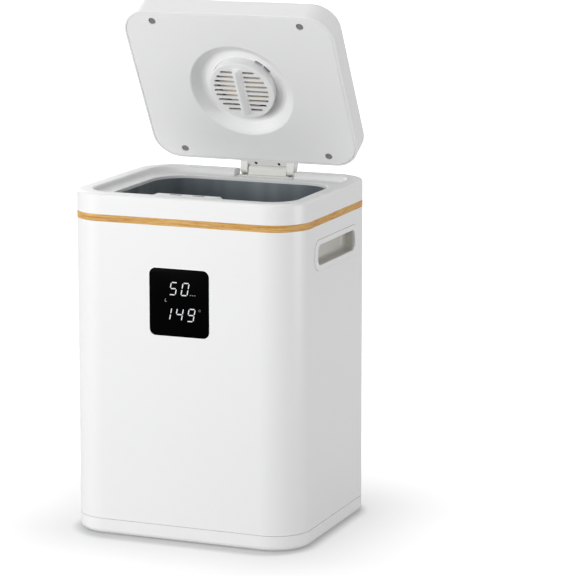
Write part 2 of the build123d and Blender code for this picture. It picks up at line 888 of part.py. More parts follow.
def lid_shell():
    shell = lid_prism(0, 0, lid_thickness)
    shell = fillet(shell.edges().group_by(Axis.Z)[-1], lid_edge_round)
    shell = fillet(shell.edges().group_by(Axis.Z)[0], lid_lip_round)
    shell -= lid_prism(lid_wall, 0, lid_thickness - lid_wall)
    for x, y in lid_screw_places():
        shell += lid_post(x, y, pocket_depth, lid_thickness - lid_wall, boss_radius)
        shell -= lid_post(x, y, pocket_depth, lid_thickness - 2 * lid_wall, screw_radius + press_gap)
    low = lid_low + strip_thickness + snug_gap
    block = span(
        hinge_offset - lug_block_half, hinge_offset + lug_block_half,
        lid_back - lid_wall, lid_back + strip_depth, low, low + lug_block_height,
    )
    shell += fillet(block.edges().group_by(Axis.Y)[-1], lug_block_round)
    depth = leaf_head_height + leaf_screw_length - strip_thickness + fit_gap
    for x in leaf_screw_places():
        y = lid_back + snug_gap + strip_depth / 2
        shell -= post(x, y, low, low + depth, small_screw_radius + press_gap)
    return shell


# Dish surface as a radius and depth profile, turned about the middle of the dish.
def turned(outline):
    axis = Axis((0, dish_middle, lid_low), (0, 0, 1))
    facing = Plane(origin=(0, dish_middle, lid_low), x_dir=(1, 0, 0), z_dir=(0, -1, 0))
    return revolve(facing * outline, axis)


def dish_hollow():
    edge = rim_inner_round
    shoulder = (dish_radius - edge * 0.7, edge * 0.75)
    foot = (dish_floor_radius + (dish_radius - dish_floor_radius) * 0.45, dish_depth * 0.68)
    bend = (dish_floor_radius + (dish_radius - dish_floor_radius) * 0.25, dish_depth * 0.91)
    floor = (dish_floor_radius, dish_depth)
    with BuildSketch() as profile:
        with BuildLine():
            Line((0, -1), (dish_radius + edge / 3, -1))
            Line((dish_radius + edge / 3, -1), (dish_radius + edge / 3, 0))
            ThreePointArc((dish_radius + edge / 3, 0), (dish_radius - edge * 0.2, edge * 0.22), shoulder)
            Line(shoulder, foot)
            ThreePointArc(foot, bend, floor)
            Line(floor, (0, dish_depth))
            Line((0, dish_depth), (0, -1))
        make_face()
    return turned(profile.sketch)


def dish_body():
    under = dish_depth + dish_skin
    outer = dish_radius + 2 * dish_skin
    slope_end = dish_floor_radius + dish_skin
    outline = Polygon(
        (0, 0), (outer, 0), (outer, panel_thickness),
        (slope_end + 6, under - 3), (slope_end, under), (0, under),
        align=None,
    )
    return turned(outline)


# Ring sectors about the middle of the dish, for the lugs and the slots that they pass through.
def sectors(inner, outer, near, far, arc, turn):
    pieces = []
    for index in range(lug_sets):
        for side in (-1, 1):
            middle = entry_angle + turn + index * 360 / lug_sets + side * lug_pair_spread / 2
            ring = Circle(outer) - Circle(inner)
            reach = 2 * outer
            spread = reach * tan(radians(arc / 2))
            wedge = Polygon((0, 0), (reach, -spread), (reach, spread), align=None)
            sector = ring & (Rot(0, 0, middle) * wedge)
            placed = Plane.XY.offset(lid_low + near) * Pos(0, dish_middle) * sector
            pieces.append(extrude(placed, far - near))
    return pieces


def lid_panel():
    panel = lid_prism(lid_wall + fit_gap, 0, panel_thickness)
    panel = chamfer(panel.edges().group_by(Axis.Z)[0], lid_lip_round / 2)
    panel += dish_body()
    panel -= dish_hollow()
    under = dish_depth + dish_skin
    panel -= lid_post(0, dish_middle, 0, under, cap_radius + cap_gap)
    entry = cap_radius, cap_radius + lug_reach + cap_gap, dish_depth - 1, under
    for slot in sectors(*entry, lug_arc + entry_margin, 0):
        panel -= slot
    for x, y in lid_screw_places():
        panel += lid_post(x, y, panel_thickness - 1, pocket_depth, pocket_radius)
        panel -= lid_post(x, y, 0, counterbore_depth, counterbore_radius)
        panel -= lid_post(x, y, 0, pocket_depth, screw_radius + fit_gap)
    return panel


def lid_screws():
    z = lid_low + counterbore_depth - screw_head_height
    length = pocket_depth + lid_thickness / 3 - counterbore_depth
    sizes = (screw_head_radius, screw_head_height, screw_radius, length)
    return [screw(x, y, z, *sizes) for x, y in lid_screw_places()]


def lid_screw_plugs():
    plugs = []
    for x, y in lid_screw_places():
        end = plug_recess + plug_thickness - snug_gap
        plug = lid_post(x, y, plug_recess, end, counterbore_radius - snug_gap)
        plugs.append(fillet(plug.edges().group_by(Axis.Z)[0], plug_thickness / 4))
    return plugs


def lid_insulation():
    near = panel_thickness + snug_gap
    far = lid_thickness - lid_wall - foam_gap
    foam = lid_prism(lid_wall + fit_gap, near, far)
    foam -= lid_post(0, dish_middle, near, far, dish_radius + 2 * dish_skin + fit_gap)
    for x, y in lid_screw_places():
        foam -= lid_post(x, y, near, far, pocket_radius + fit_gap)
    for x in leaf_screw_places():
        foam -= post(x, lid_back, lid_low + near, lid_low + far, 2 * lid_wall)
    return foam


def aroma_tray():
    near = dish_depth + dish_skin
    inner = cap_radius + lug_reach + tray_gap
    outer = inner + tray_wall
    tray = lid_post(0, dish_middle, near, near + tray_depth, outer)
    tray += lid_post(0, dish_middle, near, near + tray_wall, tray_flange_radius)
    return tray - lid_post(0, dish_middle, near, near + tray_depth - tray_wall, inner)


# Felt block with a domed top: a ball is cut to the pad's radius.
def aroma_pad():
    floor = dish_depth + dish_skin + tray_depth - tray_wall
    near = floor - felt_thickness
    ball = (felt_radius ** 2 + felt_crown ** 2) / (2 * felt_crown)
    dome = Pos(0, dish_middle, lid_low + near + ball) * Sphere(ball)
    return lid_post(0, dish_middle, near, floor - snug_gap, felt_radius) & dome


def cap_slots():
    slots = []
    first = -(slot_rows - 1) / 2
    for row in range(slot_rows):
        y = (first + row) * slot_pitch
        outer = sqrt(slot_circle ** 2 - y ** 2)
        length = outer - slot_inner
        for side in (-1, 1):
            middle = side * (slot_inner + outer) / 2
            outline = Pos(middle, dish_middle + y) * SlotOverall(length, slot_width)
            slots.append(extrude(Plane.XY.offset(lid_low - 1) * outline, cap_face + 2))
    return slots


# Grip across the cap: a ridge whose sides and ends slope up to a narrow crest.
def grip_rib():
    face = Plane.XY.offset(lid_low + cap_face / 2) * Pos(0, dish_middle)
    crest = Plane.XY.offset(lid_low - grip_rib_height) * Pos(0, dish_middle)
    low = face * Rectangle(grip_rib_width, grip_rib_length)
    high = crest * Rectangle(grip_rib_crest, grip_rib_length - 2 * grip_rib_slope)
    rib = loft([low, high])
    return fillet(rib.edges().group_by(Axis.Z)[0], grip_rib_crest / 3)


def aroma_cap():
    cap = lid_post(0, dish_middle, 0, cap_length, cap_radius)
    cap = fillet(cap.edges().group_by(Axis.Z)[0], cap_edge_round)
    cap -= lid_post(0, dish_middle, cap_face, cap_length, cap_radius - cap_wall)
    for slot in cap_slots():
        cap -= slot
    cap += grip_rib()
    near = dish_depth + dish_skin + fit_gap
    shape = cap_radius - cap_wall / 2, cap_radius + lug_reach, near, near + lug_thickness
    for lug in sectors(*shape, lug_arc, cap_turn):
        cap += lug
    return cap


# ---- whole part ----

# The solids of one piece, whether it was drawn as one or as a list.
def solids_of(made):
    return [solid for shape in made for solid in shape.solids()] if isinstance(made, list) else made.solids()


def opened(solids):
    return [solid.rotate(hinge_axis, -lid_open_angle) for solid in solids]


right_cup = handle_cup()
fixed_parts = {
    "base_cover": base_cover(),
    "rubber_feet": rubber_feet(),
    "base_screws": base_screws(),
    "outer_shell": outer_shell(),
    "trim_band": trim_band(),
    "top_collar": top_collar(),
    "inner_liner": inner_liner(),
    "liner_screws": liner_screws(),
    "heater_wrap": heater_wrap(),
    "insulation_jacket": insulation_jacket(),
    "bottom_insulation": bottom_insulation(),
    "thermal_cutoff": thermal_cutoff(),
    "temperature_sensor": temperature_sensor(),
    "power_board": power_board(),
    "power_board_screws": power_board_screws(),
    "power_relay": power_relay(),
    "transformer": transformer(),
    "filter_capacitor": filter_capacitor(),
    "display_lens": display_lens(),
    "display_housing": display_housing(),
    "display_screws": display_screws(),
    "led_module": led_module(),
    "touch_springs": touch_springs(),
    "display_board": display_board(),
    "display_ribbon": display_ribbon(),
    "handle_cup_right": right_cup,
    "handle_cup_left": right_cup.mirror(Plane.YZ),
    "cord_gland": cord_gland(),
    "gland_nut": gland_nut(),
    "hinge_base": hinge_base(),
    "hinge_base_screws": hinge_base_screws(),
    "hinge_pin": hinge_pin(),
    "friction_sleeve": friction_sleeve(),
}
lid_parts = {
    "hinge_leaf": hinge_leaf(),
    "hinge_bushes": hinge_bushes(),
    "leaf_screws": leaf_screws(),
    "lid_shell": lid_shell(),
    "lid_panel": lid_panel(),
    "lid_screws": lid_screws(),
    "lid_screw_plugs": lid_screw_plugs(),
    "lid_insulation": lid_insulation(),
    "aroma_tray": aroma_tray(),
    "aroma_pad": aroma_pad(),
    "aroma_cap": aroma_cap(),
}

pieces = {name: solids_of(made) for name, made in fixed_parts.items()}
pieces |= {name: opened(solids_of(made)) for name, made in lid_parts.items()}
boxes = [solid.bounding_box() for solids in pieces.values() for solid in solids]
middle_y = (min(box.min.Y for box in boxes) + max(box.max.Y for box in boxes)) / 2

os.makedirs("parts", exist_ok=True)
for name, solids in pieces.items():
    centred = [solid.translate((0, -middle_y, 0)) for solid in solids]
    export_step(Compound(children=centred), f"parts/{name}.step")
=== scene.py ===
import json
import math

import bmesh
import bpy
import numpy as np
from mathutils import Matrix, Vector


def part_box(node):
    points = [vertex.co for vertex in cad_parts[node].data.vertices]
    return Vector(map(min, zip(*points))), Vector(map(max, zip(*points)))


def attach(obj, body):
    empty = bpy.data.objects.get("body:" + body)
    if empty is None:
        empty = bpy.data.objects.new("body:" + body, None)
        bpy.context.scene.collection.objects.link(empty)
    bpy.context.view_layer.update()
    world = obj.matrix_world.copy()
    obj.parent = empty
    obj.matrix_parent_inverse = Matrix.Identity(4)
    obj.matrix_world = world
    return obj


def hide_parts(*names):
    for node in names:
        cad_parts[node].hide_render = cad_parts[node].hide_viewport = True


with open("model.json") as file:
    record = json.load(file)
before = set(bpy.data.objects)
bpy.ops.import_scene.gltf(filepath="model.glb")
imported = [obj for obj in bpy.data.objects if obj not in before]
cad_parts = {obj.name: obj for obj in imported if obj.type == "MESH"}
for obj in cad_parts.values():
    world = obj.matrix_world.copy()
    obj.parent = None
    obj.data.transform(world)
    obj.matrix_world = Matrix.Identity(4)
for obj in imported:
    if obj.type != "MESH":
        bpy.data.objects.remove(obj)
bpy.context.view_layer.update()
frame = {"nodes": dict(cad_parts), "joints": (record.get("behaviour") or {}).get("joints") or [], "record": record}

nodes = frame["nodes"]
print("frame loaded:", len(nodes), "nodes")

whiteRays = ("Is Camera Ray", "Is Glossy Ray", "Is Transmission Ray")


# one output socket; arithmetic on it adds Math nodes
class Wire:
    def __init__(self, finish, socket):
        self.finish = finish
        self.socket = socket

    def maths(self, operation, *values):
        return self.finish.node("ShaderNodeMath", {"operation": operation}, dict(enumerate(values)))

    def __add__(self, other):
        return self.maths("ADD", self, other)

    def __sub__(self, other):
        return self.maths("SUBTRACT", self, other)

    def __rsub__(self, other):
        return self.maths("SUBTRACT", other, self)

    def __mul__(self, other):
        return self.maths("MULTIPLY", self, other)

    def __abs__(self):
        return self.maths("ABSOLUTE", self)

    __radd__ = __add__
    __rmul__ = __mul__


# the nodes of one material, or of the world, under construction
class Finish:
    def __init__(self, owner):
        owner.use_nodes = True
        self.owner = owner
        self.tree = owner.node_tree
        self.tree.nodes.clear()

    # any node: its type, its settings (a ramp's stops too), then values or links for its sockets
    def node(self, kind, settings=None, values=None, outlet=0):
        made = self.tree.nodes.new(kind)
        for key, value in (settings or {}).items():
            if key == "stops":
                ramp = made.color_ramp.elements
                while len(ramp) < len(value):
                    ramp.new(1.0)
                for stop, (at, color) in zip(ramp, value):
                    stop.position = at
                    stop.color = color
            else:
                setattr(made, key, value)
        for key, value in (values or {}).items():
            if isinstance(value, Wire):
                self.tree.links.new(value.socket, made.inputs[key])
            else:
                made.inputs[key].default_value = value
        return Wire(self, made.outputs[outlet])

    # the place on the object, in metres
    def place(self):
        return self.node("ShaderNodeTexCoord", outlet="Object")

    # noise from 0 to 1, with the pattern squeezed along each axis by stretch
    def noise(self, scale, detail=2.0, stretch=(1, 1, 1)):
        place = self.node("ShaderNodeMapping", None, {"Vector": self.place(), "Scale": stretch})
        values = {"Vector": place, "Scale": scale, "Detail": detail}
        return self.node("ShaderNodeTexNoise", None, values, "Fac")

    # two colours mixed: a Mix node takes them in its sockets 6 and 7 and gives the result from its output 2
    def mix(self, factor, first, second):
        return self.node("ShaderNodeMix", {"data_type": "RGBA"}, {0: factor, 6: first, 7: second}, 2)

    def ramp(self, factor, stops):
        return self.node("ShaderNodeValToRGB", {"stops": stops}, {"Fac": factor})

    def bump(self, height, strength, distance, under=None):
        values = {"Height": height, "Strength": strength, "Distance": distance}
        if under:
            values["Normal"] = under
        return self.node("ShaderNodeBump", None, values)

    def vectors(self, operation, *values, outlet=0):
        return self.node("ShaderNodeVectorMath", {"operation": operation}, dict(enumerate(values)), outlet)

    # three masks: 1 for a ray straight from the camera, off a gloss and through glass, or else 0
    def rays(self):
        return [self.node("ShaderNodeLightPath", outlet=ray) for ray in whiteRays]

    def end(self, shader, kind="ShaderNodeOutputMaterial"):
        self.tree.links.new(shader.socket, self.tree.nodes.new(kind).inputs["Surface"])

    def close(self, values):
        self.end(self.node("ShaderNodeBsdfPrincipled", None, values))
        return self.owner


screenCurve = {"knee": 0.04045, "slope": 12.92, "lift": 0.055, "power": 2.4}


# a screen colour from 0 to 255, less a drop, as linear light: a power curve, straight below its knee
def paint(color, drop=0):
    share = (np.array(color) - drop) / 255.0
    lift = screenCurve["lift"]
    curve = ((share + lift) / (1 + lift)) ** screenCurve["power"]
    linear = np.where(share > screenCurve["knee"], curve, share / screenCurve["slope"])
    return (*map(float, linear), 1.0)


# noise brought to a range of the given spread about its middle
def around(noise, middle, spread):
    return noise * spread + (middle - spread / 2)


plasticSet = {
    "color": (241, 241, 241), "cloud": 7.0, "cloudDrop": 3, "cloudShare": 0.5,
    "rough": 0.35, "roughSpread": 0.08, "gloss": 60.0, "specular": 0.35, "ior": 1.5,
    "coat": 0.05, "coatRough": 0.12,
    "wave": 9.0, "waveDepth": 0.00035, "waveStrength": 0.15,
    "grain": 1400.0, "grainDepth": 0.00001, "grainStrength": 0.25,
    # painted shade in a grip's hollow: its warm grey, and the distances from the middle over which it fades out
    "recess": (204, 202, 196), "recessDeep": 0.1465, "recessRim": 0.1502,
}


# moulded plastic: two close tones in soft clouds, uneven gloss, and a fine grain on a slow ripple; in a grip's
# hollow, painted shade turns the tone to a warm grey as its places near the middle of the body
def mouldedPlastic(name, s, recessed=False):
    f = Finish(bpy.data.materials.new(name))
    cloud = f.noise(s["cloud"], detail=3.0)
    tone = f.mix(cloud * s["cloudShare"], paint(s["color"]), paint(s["color"], s["cloudDrop"]))
    if recessed:
        # painted shade: the tone darkens to the warm grey towards the middle of the body, deep in the grip's
        # hollow
        away = abs(f.node("ShaderNodeSeparateXYZ", None, {0: f.place()}))
        shadeShare = f.node("ShaderNodeMapRange", None, {
            "Value": away, "From Min": s["recessDeep"], "From Max": s["recessRim"],
            "To Min": 1.0, "To Max": 0.0,
        })
        tone = f.mix(shadeShare, tone, paint(s["recess"]))
    ripple = f.bump(f.noise(s["wave"], detail=1.0), s["waveStrength"], s["waveDepth"])
    return f.close({
        "Base Color": tone,
        "Roughness": around(f.noise(s["gloss"], detail=4.0), s["rough"], s["roughSpread"]),
        "Normal": f.bump(f.noise(s["grain"]), s["grainStrength"], s["grainDepth"], ripple),
        "IOR": s["ior"], "Specular IOR Level": s["specular"],
        "Coat Weight": s["coat"], "Coat Roughness": s["coatRough"],
    })


bandSet = {
    "dark": (172, 119, 54), "middle": (209, 160, 87), "light": (228, 187, 117), "stops": (0.34, 0.5, 0.64),
    "grain": 34.0, "fineness": 4.0, "fineShare": 0.35, "squeeze": (1, 1, 30.0),
    "poreDepth": 0.00008, "poreStrength": 0.3, "rough": 0.5, "roughSpread": 0.15, "specular": 0.2,
}


# wood-look inlay: a broad and a fine noise, both squeezed across the band into streaks along it, add up to
# the figure, which sets the tone and the height; where the fine noise is high, the gloss is too
def bandInlay(name, s):
    f = Finish(bpy.data.materials.new(name))
    broad = f.noise(s["grain"], 4.0, s["squeeze"])
    fine = f.noise(s["grain"] * s["fineness"], 3.0, s["squeeze"])
    figure = broad * (1 - s["fineShare"]) + fine * s["fineShare"]
    tones = [paint(s[tone]) for tone in ("dark", "middle", "light")]
    return f.close({
        "Base Color": f.ramp(figure, list(zip(s["stops"], tones))),
        "Roughness": s["rough"] - fine * s["roughSpread"], "Specular IOR Level": s["specular"],
        "Normal": f.bump(figure, s["poreStrength"], s["poreDepth"]),
    })


linerSet = {
    "color": (142, 151, 156), "dark": (86, 95, 101), "cloud": 18.0, "upright": (1, 1, 0.06),
    "least": 0.35, "spread": 3.3, "gloss": 90.0, "rough": 0.34, "roughSpread": 0.12, "metal": 0.15,
    "peel": 700.0, "peelDepth": 0.00004, "peelStrength": 0.2,
}


# coated sheet: fine orange peel, and two tones in broad vertical streaks that paint soft reflections
def linerCoat(name, s):
    f = Finish(bpy.data.materials.new(name))
    # painted reflections: broad vertical streaks of a lighter and a darker tone
    cloud = f.noise(s["cloud"], 2.0, s["upright"])
    return f.close({
        "Base Color": f.mix((cloud - s["least"]) * s["spread"], paint(s["dark"]), paint(s["color"])),
        "Roughness": around(f.noise(s["gloss"], detail=3.0), s["rough"], s["roughSpread"]),
        "Normal": f.bump(f.noise(s["peel"]), s["peelStrength"], s["peelDepth"]), "Metallic": s["metal"],
    })


# what a plainer finish has where it names nothing else
plainBase = {
    "cloud": 25.0, "roughSpread": 0.1, "strength": 0.3, "metal": 0.0, "specular": 0.5, "stretch": (1, 1, 1),
}
plainSet = {
    "windowGlass": {"light": (3, 3, 4), "dark": (1, 1, 2), "rough": 0.2, "grain": 900.0, "depth": 0.000002,
                    "roughSpread": 0.04, "specular": 0.012},
    # the window's rim: whiter than the shell, a painted highlight
    "rimHighlightWhite": {"light": (252, 252, 252), "dark": (248, 248, 248), "rough": 0.25, "grain": 900.0,
                 "depth": 0.00001},
    "hingeNylon": {"light": (240, 240, 236), "dark": (232, 231, 226), "rough": 0.42, "grain": 1100.0,
                   "depth": 0.00002},
    # painted shade of the gap round each grip's frame
    "partingShadeGrey": {"light": (190, 190, 188), "dark": (178, 178, 176), "rough": 0.6, "grain": 900.0,
                    "depth": 0.00001},
    "markGrey": {"light": (84, 84, 84), "dark": (70, 70, 70), "rough": 0.8, "grain": 900.0,
                 "depth": 0.00001, "specular": 0.1},
    "plugGrey": {"light": (142, 140, 136), "dark": (112, 110, 106), "rough": 0.5, "grain": 1200.0,
                 "depth": 0.00003},
    "glandNylon": {"light": (92, 93, 96), "dark": (78, 79, 82), "rough": 0.5, "grain": 900.0,
                   "depth": 0.00003},
    "blackPlastic": {"light": (40, 40, 42), "dark": (30, 30, 32), "rough": 0.5, "grain": 900.0,
                     "depth": 0.00003},
    "footRubber": {"light": (96, 97, 100), "dark": (80, 81, 84), "rough": 0.85, "grain": 1500.0,
                   "depth": 0.00005},
    "zincSteel": {"light": (205, 206, 208), "dark": (180, 181, 184), "rough": 0.35, "grain": 500.0,
                  "depth": 0.00001, "metal": 1.0, "stretch": (1, 1, 8)},
    "blackScrew": {"light": (48, 48, 50), "dark": (26, 26, 28), "rough": 0.4, "grain": 800.0,
                   "depth": 0.00002, "metal": 0.6},
    "brassMetal": {"light": (214, 180, 110), "dark": (190, 154, 84), "rough": 0.3, "grain": 400.0,
                   "depth": 0.00001, "metal": 1.0, "stretch": (8, 1, 1)},
    "foilWrap": {"light": (226, 227, 229), "dark": (206, 207, 210), "rough": 0.3, "grain": 160.0,
                 "depth": 0.0003, "metal": 0.9},
    "fibreWrap": {"light": (226, 224, 216), "dark": (204, 201, 192), "rough": 0.95, "grain": 700.0,
                  "depth": 0.0004, "stretch": (1, 1, 3)},
    "boardLaminate": {"light": (42, 112, 66), "dark": (30, 92, 52), "rough": 0.4, "grain": 700.0,
                      "depth": 0.00002},
    "ribbonGrey": {"light": (196, 197, 200), "dark": (170, 171, 175), "rough": 0.5, "grain": 500.0,
                   "depth": 0.00004, "stretch": (6, 1, 1)},
    "feltTan": {"light": (242, 229, 208), "dark": (224, 208, 184), "rough": 0.95, "grain": 900.0,
                "depth": 0.0006, "strength": 0.6},
}


# any plainer finish: two tones mixed by cloudy noise, and a grain that sets both the gloss and the height
def plainFinish(name, s):
    f = Finish(bpy.data.materials.new(name))
    cloud = f.noise(s["cloud"], detail=4.0)
    grain = f.noise(s["grain"], 3.0, s["stretch"])
    return f.close({
        "Base Color": f.mix(cloud, paint(s["dark"]), paint(s["light"])), "Metallic": s["metal"],
        "Roughness": around(grain, s["rough"], s["roughSpread"]), "Specular IOR Level": s["specular"],
        "Normal": f.bump(grain, s["strength"], s["depth"]),
    })


litSet = {
    "bars": {"litBar": (238, 240, 242), "dimBar": (150, 152, 156)}, "drop": 18, "cloud": 500.0,
    "strength": 1.0, "base": (30, 30, 32), "rough": 0.4,
}


# lit bars glow a little unevenly, like a diffuser over small lamps
def litFinish(name, color, s):
    f = Finish(bpy.data.materials.new(name))
    tone = f.mix(f.noise(s["cloud"], detail=1.0), paint(color), paint(color, s["drop"]))
    return f.close({
        "Base Color": paint(s["base"]), "Roughness": s["rough"],
        "Emission Color": tone, "Emission Strength": s["strength"],
    })


finishes = {name: plainFinish(name, {**plainBase, **own}) for name, own in plainSet.items()}
finishes.update({name: litFinish(name, color, litSet) for name, color in litSet["bars"].items()})
finishes["shellPlastic"] = mouldedPlastic("shellPlastic", plasticSet)
finishes["gripPlasticShaded"] = mouldedPlastic("gripPlasticShaded", plasticSet, recessed=True)
finishes["bandInlay"] = bandInlay("bandInlay", bandSet)
finishes["linerCoat"] = linerCoat("linerCoat", linerSet)

# what each material slot of the record looks like, and the nodes that look otherwise
slotFinish = {
    "white_plastic": "shellPlastic", "gold_trim": "bandInlay", "dark_liner": "linerCoat",
    "display_glass": "windowGlass", "hinge_grey": "hingeNylon", "plug_grey": "plugGrey",
    "grey_plastic": "glandNylon", "black_plastic": "blackPlastic", "rubber": "footRubber",
    "steel": "zincSteel", "dark_steel": "blackScrew", "brass": "brassMetal", "foil": "foilWrap",
    "insulation": "fibreWrap", "circuit_board": "boardLaminate", "cable_grey": "ribbonGrey",
    "scent_felt": "feltTan",
}
# the grips take the finish with painted shade in their hollows
nodeFinish = {"handle_cup_right": "gripPlasticShaded", "handle_cup_left": "gripPlasticShaded"}


# gives a thing one finish in place of all that it had
def dress(thing, finish):
    thing.data.materials.clear()
    thing.data.materials.append(finishes[finish])


for part in frame["record"]["subparts"]:
    node = part["node"]
    dress(nodes[node], nodeFinish.get(node, slotFinish[part["material_slot"]]))
print("finishes on", len(nodes), "nodes")


# new piece of the points and faces given, in its finish, riding on its body
def meshPiece(name, points, faces, finish, body, smooth=True):
    data = bpy.data.meshes.new(name)
    data.from_pydata(np.reshape(points, (-1, 3)).tolist(), [], faces)
    data.polygons.foreach_set("use_smooth", [smooth] * len(data.polygons))
    data.update()
    piece = bpy.data.objects.new(name, data)
    bpy.context.scene.collection.objects.link(piece)
    dress(piece, finish)
    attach(piece, body)
    return piece


# faces of a grid whose columns close on themselves, as round a tube; a ring's rows close on themselves too
def gridFaces(rows, columns, ring=False):
    row, column = np.meshgrid(np.arange(rows if ring else rows - 1), np.arange(columns), indexing="ij")
    nextRow, nextColumn = (row + 1) % rows, (column + 1) % columns
    corners = ((row, column), (row, nextColumn), (nextRow, nextColumn), (nextRow, column))
    return np.stack([r * columns + c for r, c in corners], -1).reshape(-1, 4).tolist()


# the same tube with a face over each end
def cappedFaces(rows, columns):
    first = list(range(columns))
    last = [(rows - 1) * columns + i for i in first]
    return gridFaces(rows, columns) + [first[::-1], last]


# merges points that meet, as at a pole, and turns all faces outwards
def closeUp(piece, reach=1e-6):
    mesh = bmesh.new()
    mesh.from_mesh(piece.data)
    bmesh.ops.remove_doubles(mesh, verts=mesh.verts, dist=reach)
    bmesh.ops.recalc_face_normals(mesh, faces=mesh.faces)
    mesh.to_mesh(piece.data)
    mesh.free()


# rounded rectangle about the origin: a quarter circle at each corner, counter-clockwise
def roundedOutline(width, height, corner, steps=12):
    turn = np.linspace(0, math.pi / 2, steps + 1)
    arcs = []
    for index, (sx, sy) in enumerate(((1, 1), (-1, 1), (-1, -1), (1, -1))):
        middle = np.array((sx * (width / 2 - corner), sy * (height / 2 - corner)))
        angle = turn + index * math.pi / 2
        arcs.append(middle + corner * np.stack([np.cos(angle), np.sin(angle)], -1))
    return np.concatenate(arcs)


# profile carried round one face of a node's box: each point of the profile gives a rounded rectangle, let
# out from the box by the point's outset and set at its level along the axis that the face looks along
def carriedRows(node, axis, outsets, levels, corner):
    low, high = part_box(node)
    middle = (low + high) / 2
    across, up = [i for i in range(3) if i != axis]
    rows = []
    for outset, level in zip(outsets, levels):
        width, height = high[across] - low[across] + 2 * outset, high[up] - low[up] + 2 * outset
        flat = roundedOutline(width, height, corner + outset) + (middle[across], middle[up])
        rows.append(np.insert(flat, axis, level, axis=1))
    return np.array(rows)


# thin plates: each flat outline stands at two levels along the axis, with faces between them and over them
def platePiece(name, outlines, axis, levels, finish):
    points, faces = [], []
    for outline in outlines:
        first = len(points)
        for level in levels:
            points += np.insert(outline, axis, level, axis=1).tolist()
        faces += [[first + i for i in face] for face in cappedFaces(2, len(outline))]
    return meshPiece(name, points, faces, finish, "root", smooth=False)


windowSet = {"corner": 0.008, "edge": 0.0006, "sink": 0.00006, "steps": 5}


# window slab: the outline is drawn in and pushed forward along a quarter circle at its front edge
def displayGlass(s):
    low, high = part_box("display_lens")
    turn = np.linspace(0, math.pi / 2, s["steps"] + 1)
    outsets = np.append(0.0, -s["edge"] * (1 - np.cos(turn)))
    levels = np.append(high.y, low.y + s["sink"] + s["edge"] * (1 - np.sin(turn)))
    rows = carriedRows("display_lens", 1, outsets, levels, s["corner"])
    faces = cappedFaces(*rows.shape[:2])
    piece = meshPiece("displayGlass", rows, faces, "windowGlass", "root")
    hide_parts("display_lens")


rimSet = {"gap": 0.0002, "width": 0.0011, "proud": 0.00014, "corner": 0.008, "steps": 8}


# fine rim round the window, whiter than the shell as a painted highlight: a low half-round bead carried
# along its outline, its foot in the wall
def windowRim(s):
    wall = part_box("outer_shell")[0].y
    turn = np.linspace(0, math.pi, s["steps"] + 1)
    outsets = s["gap"] + s["width"] / 2 * (1 + np.cos(turn))
    levels = wall - s["proud"] * np.sin(turn)
    outsets = np.append(outsets, (outsets[-1], outsets[0]))
    levels = np.append(levels, (wall + s["width"], wall + s["width"]))
    rows = carriedRows("display_lens", 1, outsets, levels, s["corner"])
    faces = gridFaces(*rows.shape[:2], ring=True)
    meshPiece("windowRim", rows, faces, "rimHighlightWhite", "root")


# flat bar with pointed ends: a stroke's width about the line between its ends, each drawn back by the gap
def barOutline(start, end, stroke, gap=0.0):
    start, end = np.array(start), np.array(end)
    along = (end - start) / np.linalg.norm(end - start)
    across = np.array((-along[1], along[0])) * stroke / 2
    start = start + along * gap
    end = end - along * gap
    nip = along * stroke / 2
    near, far = start + nip, end - nip
    return np.array([start, near - across, far - across, end, far + across, near + across])


# plates just in front of the glass: from the front of the window's box back by their thickness
def windowPlates(name, outlines, thick, finish):
    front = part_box("display_lens")[0].y
    platePiece(name, outlines, 1, (front, front + thick), finish)


digitSet = {
    "height": 0.01485, "width": 0.00785, "stroke": 0.00118, "gap": 0.00062, "lean": 0.2, "pitch": 0.0152,
    "rows": (("50", -0.0128, 0.3043), ("149", -0.0204, 0.2735)), "thick": 0.00005,
}
# which bars each digit lights: top, upper left, upper right, middle, lower left, lower right and bottom
litBars = {
    "0": (1, 1, 1, 0, 1, 1, 1), "1": (0, 0, 1, 0, 0, 1, 0), "4": (0, 1, 1, 1, 0, 1, 0),
    "5": (1, 1, 0, 1, 0, 1, 1), "9": (1, 1, 1, 1, 0, 1, 1),
}


# two rows of digits: each bar leans by a share of its height and moves to its digit's place
def litDigits(s):
    w, h = s["width"], s["height"]
    ends = (((0, h), (w, h)), ((0, h / 2), (0, h)), ((w, h / 2), (w, h)), ((0, h / 2), (w, h / 2)),
            ((0, 0), (0, h / 2)), ((w, 0), (w, h / 2)), ((0, 0), (w, 0)))
    outlines = []
    for text, left, low in s["rows"]:
        for index, digit in enumerate(text):
            for lit, (start, end) in zip(litBars[digit], ends):
                if lit:
                    bar = barOutline(start, end, s["stroke"], s["gap"])
                    bar[:, 0] += bar[:, 1] * s["lean"] + left + index * s["pitch"]
                    bar[:, 1] += low
                    outlines.append(bar)
    windowPlates("litDigits", outlines, s["thick"], "litBar")


markSet = {
    "stroke": 0.0006, "thick": 0.00005,
    # three short level strokes beside the upper row, an angle left of the lower row
    "strokes": (
        ((0.0138, 0.3050), (0.0158, 0.3050)), ((0.0166, 0.3050), (0.0186, 0.3050)),
        ((0.0194, 0.3050), (0.0214, 0.3050)), ((-0.0184, 0.2957), (-0.0177, 0.2993)),
        ((-0.0184, 0.2957), (-0.0160, 0.2957)),
    ),
    "ring": {"middle": (0.0264, 0.2873), "radius": 0.0012, "sides": 16},
}


# small dim marks: plain strokes and one ring, each side of which is a stroke of its own
def litMarks(s):
    ring = s["ring"]
    turn = np.linspace(0, 2 * math.pi, ring["sides"] + 1)
    circle = ring["middle"] + ring["radius"] * np.stack([np.cos(turn), np.sin(turn)], -1)
    strokes = [*s["strokes"], *zip(circle[:-1], circle[1:])]
    outlines = [barOutline(start, end, s["stroke"]) for start, end in strokes]
    windowPlates("litMarks", outlines, s["thick"], "dimBar")


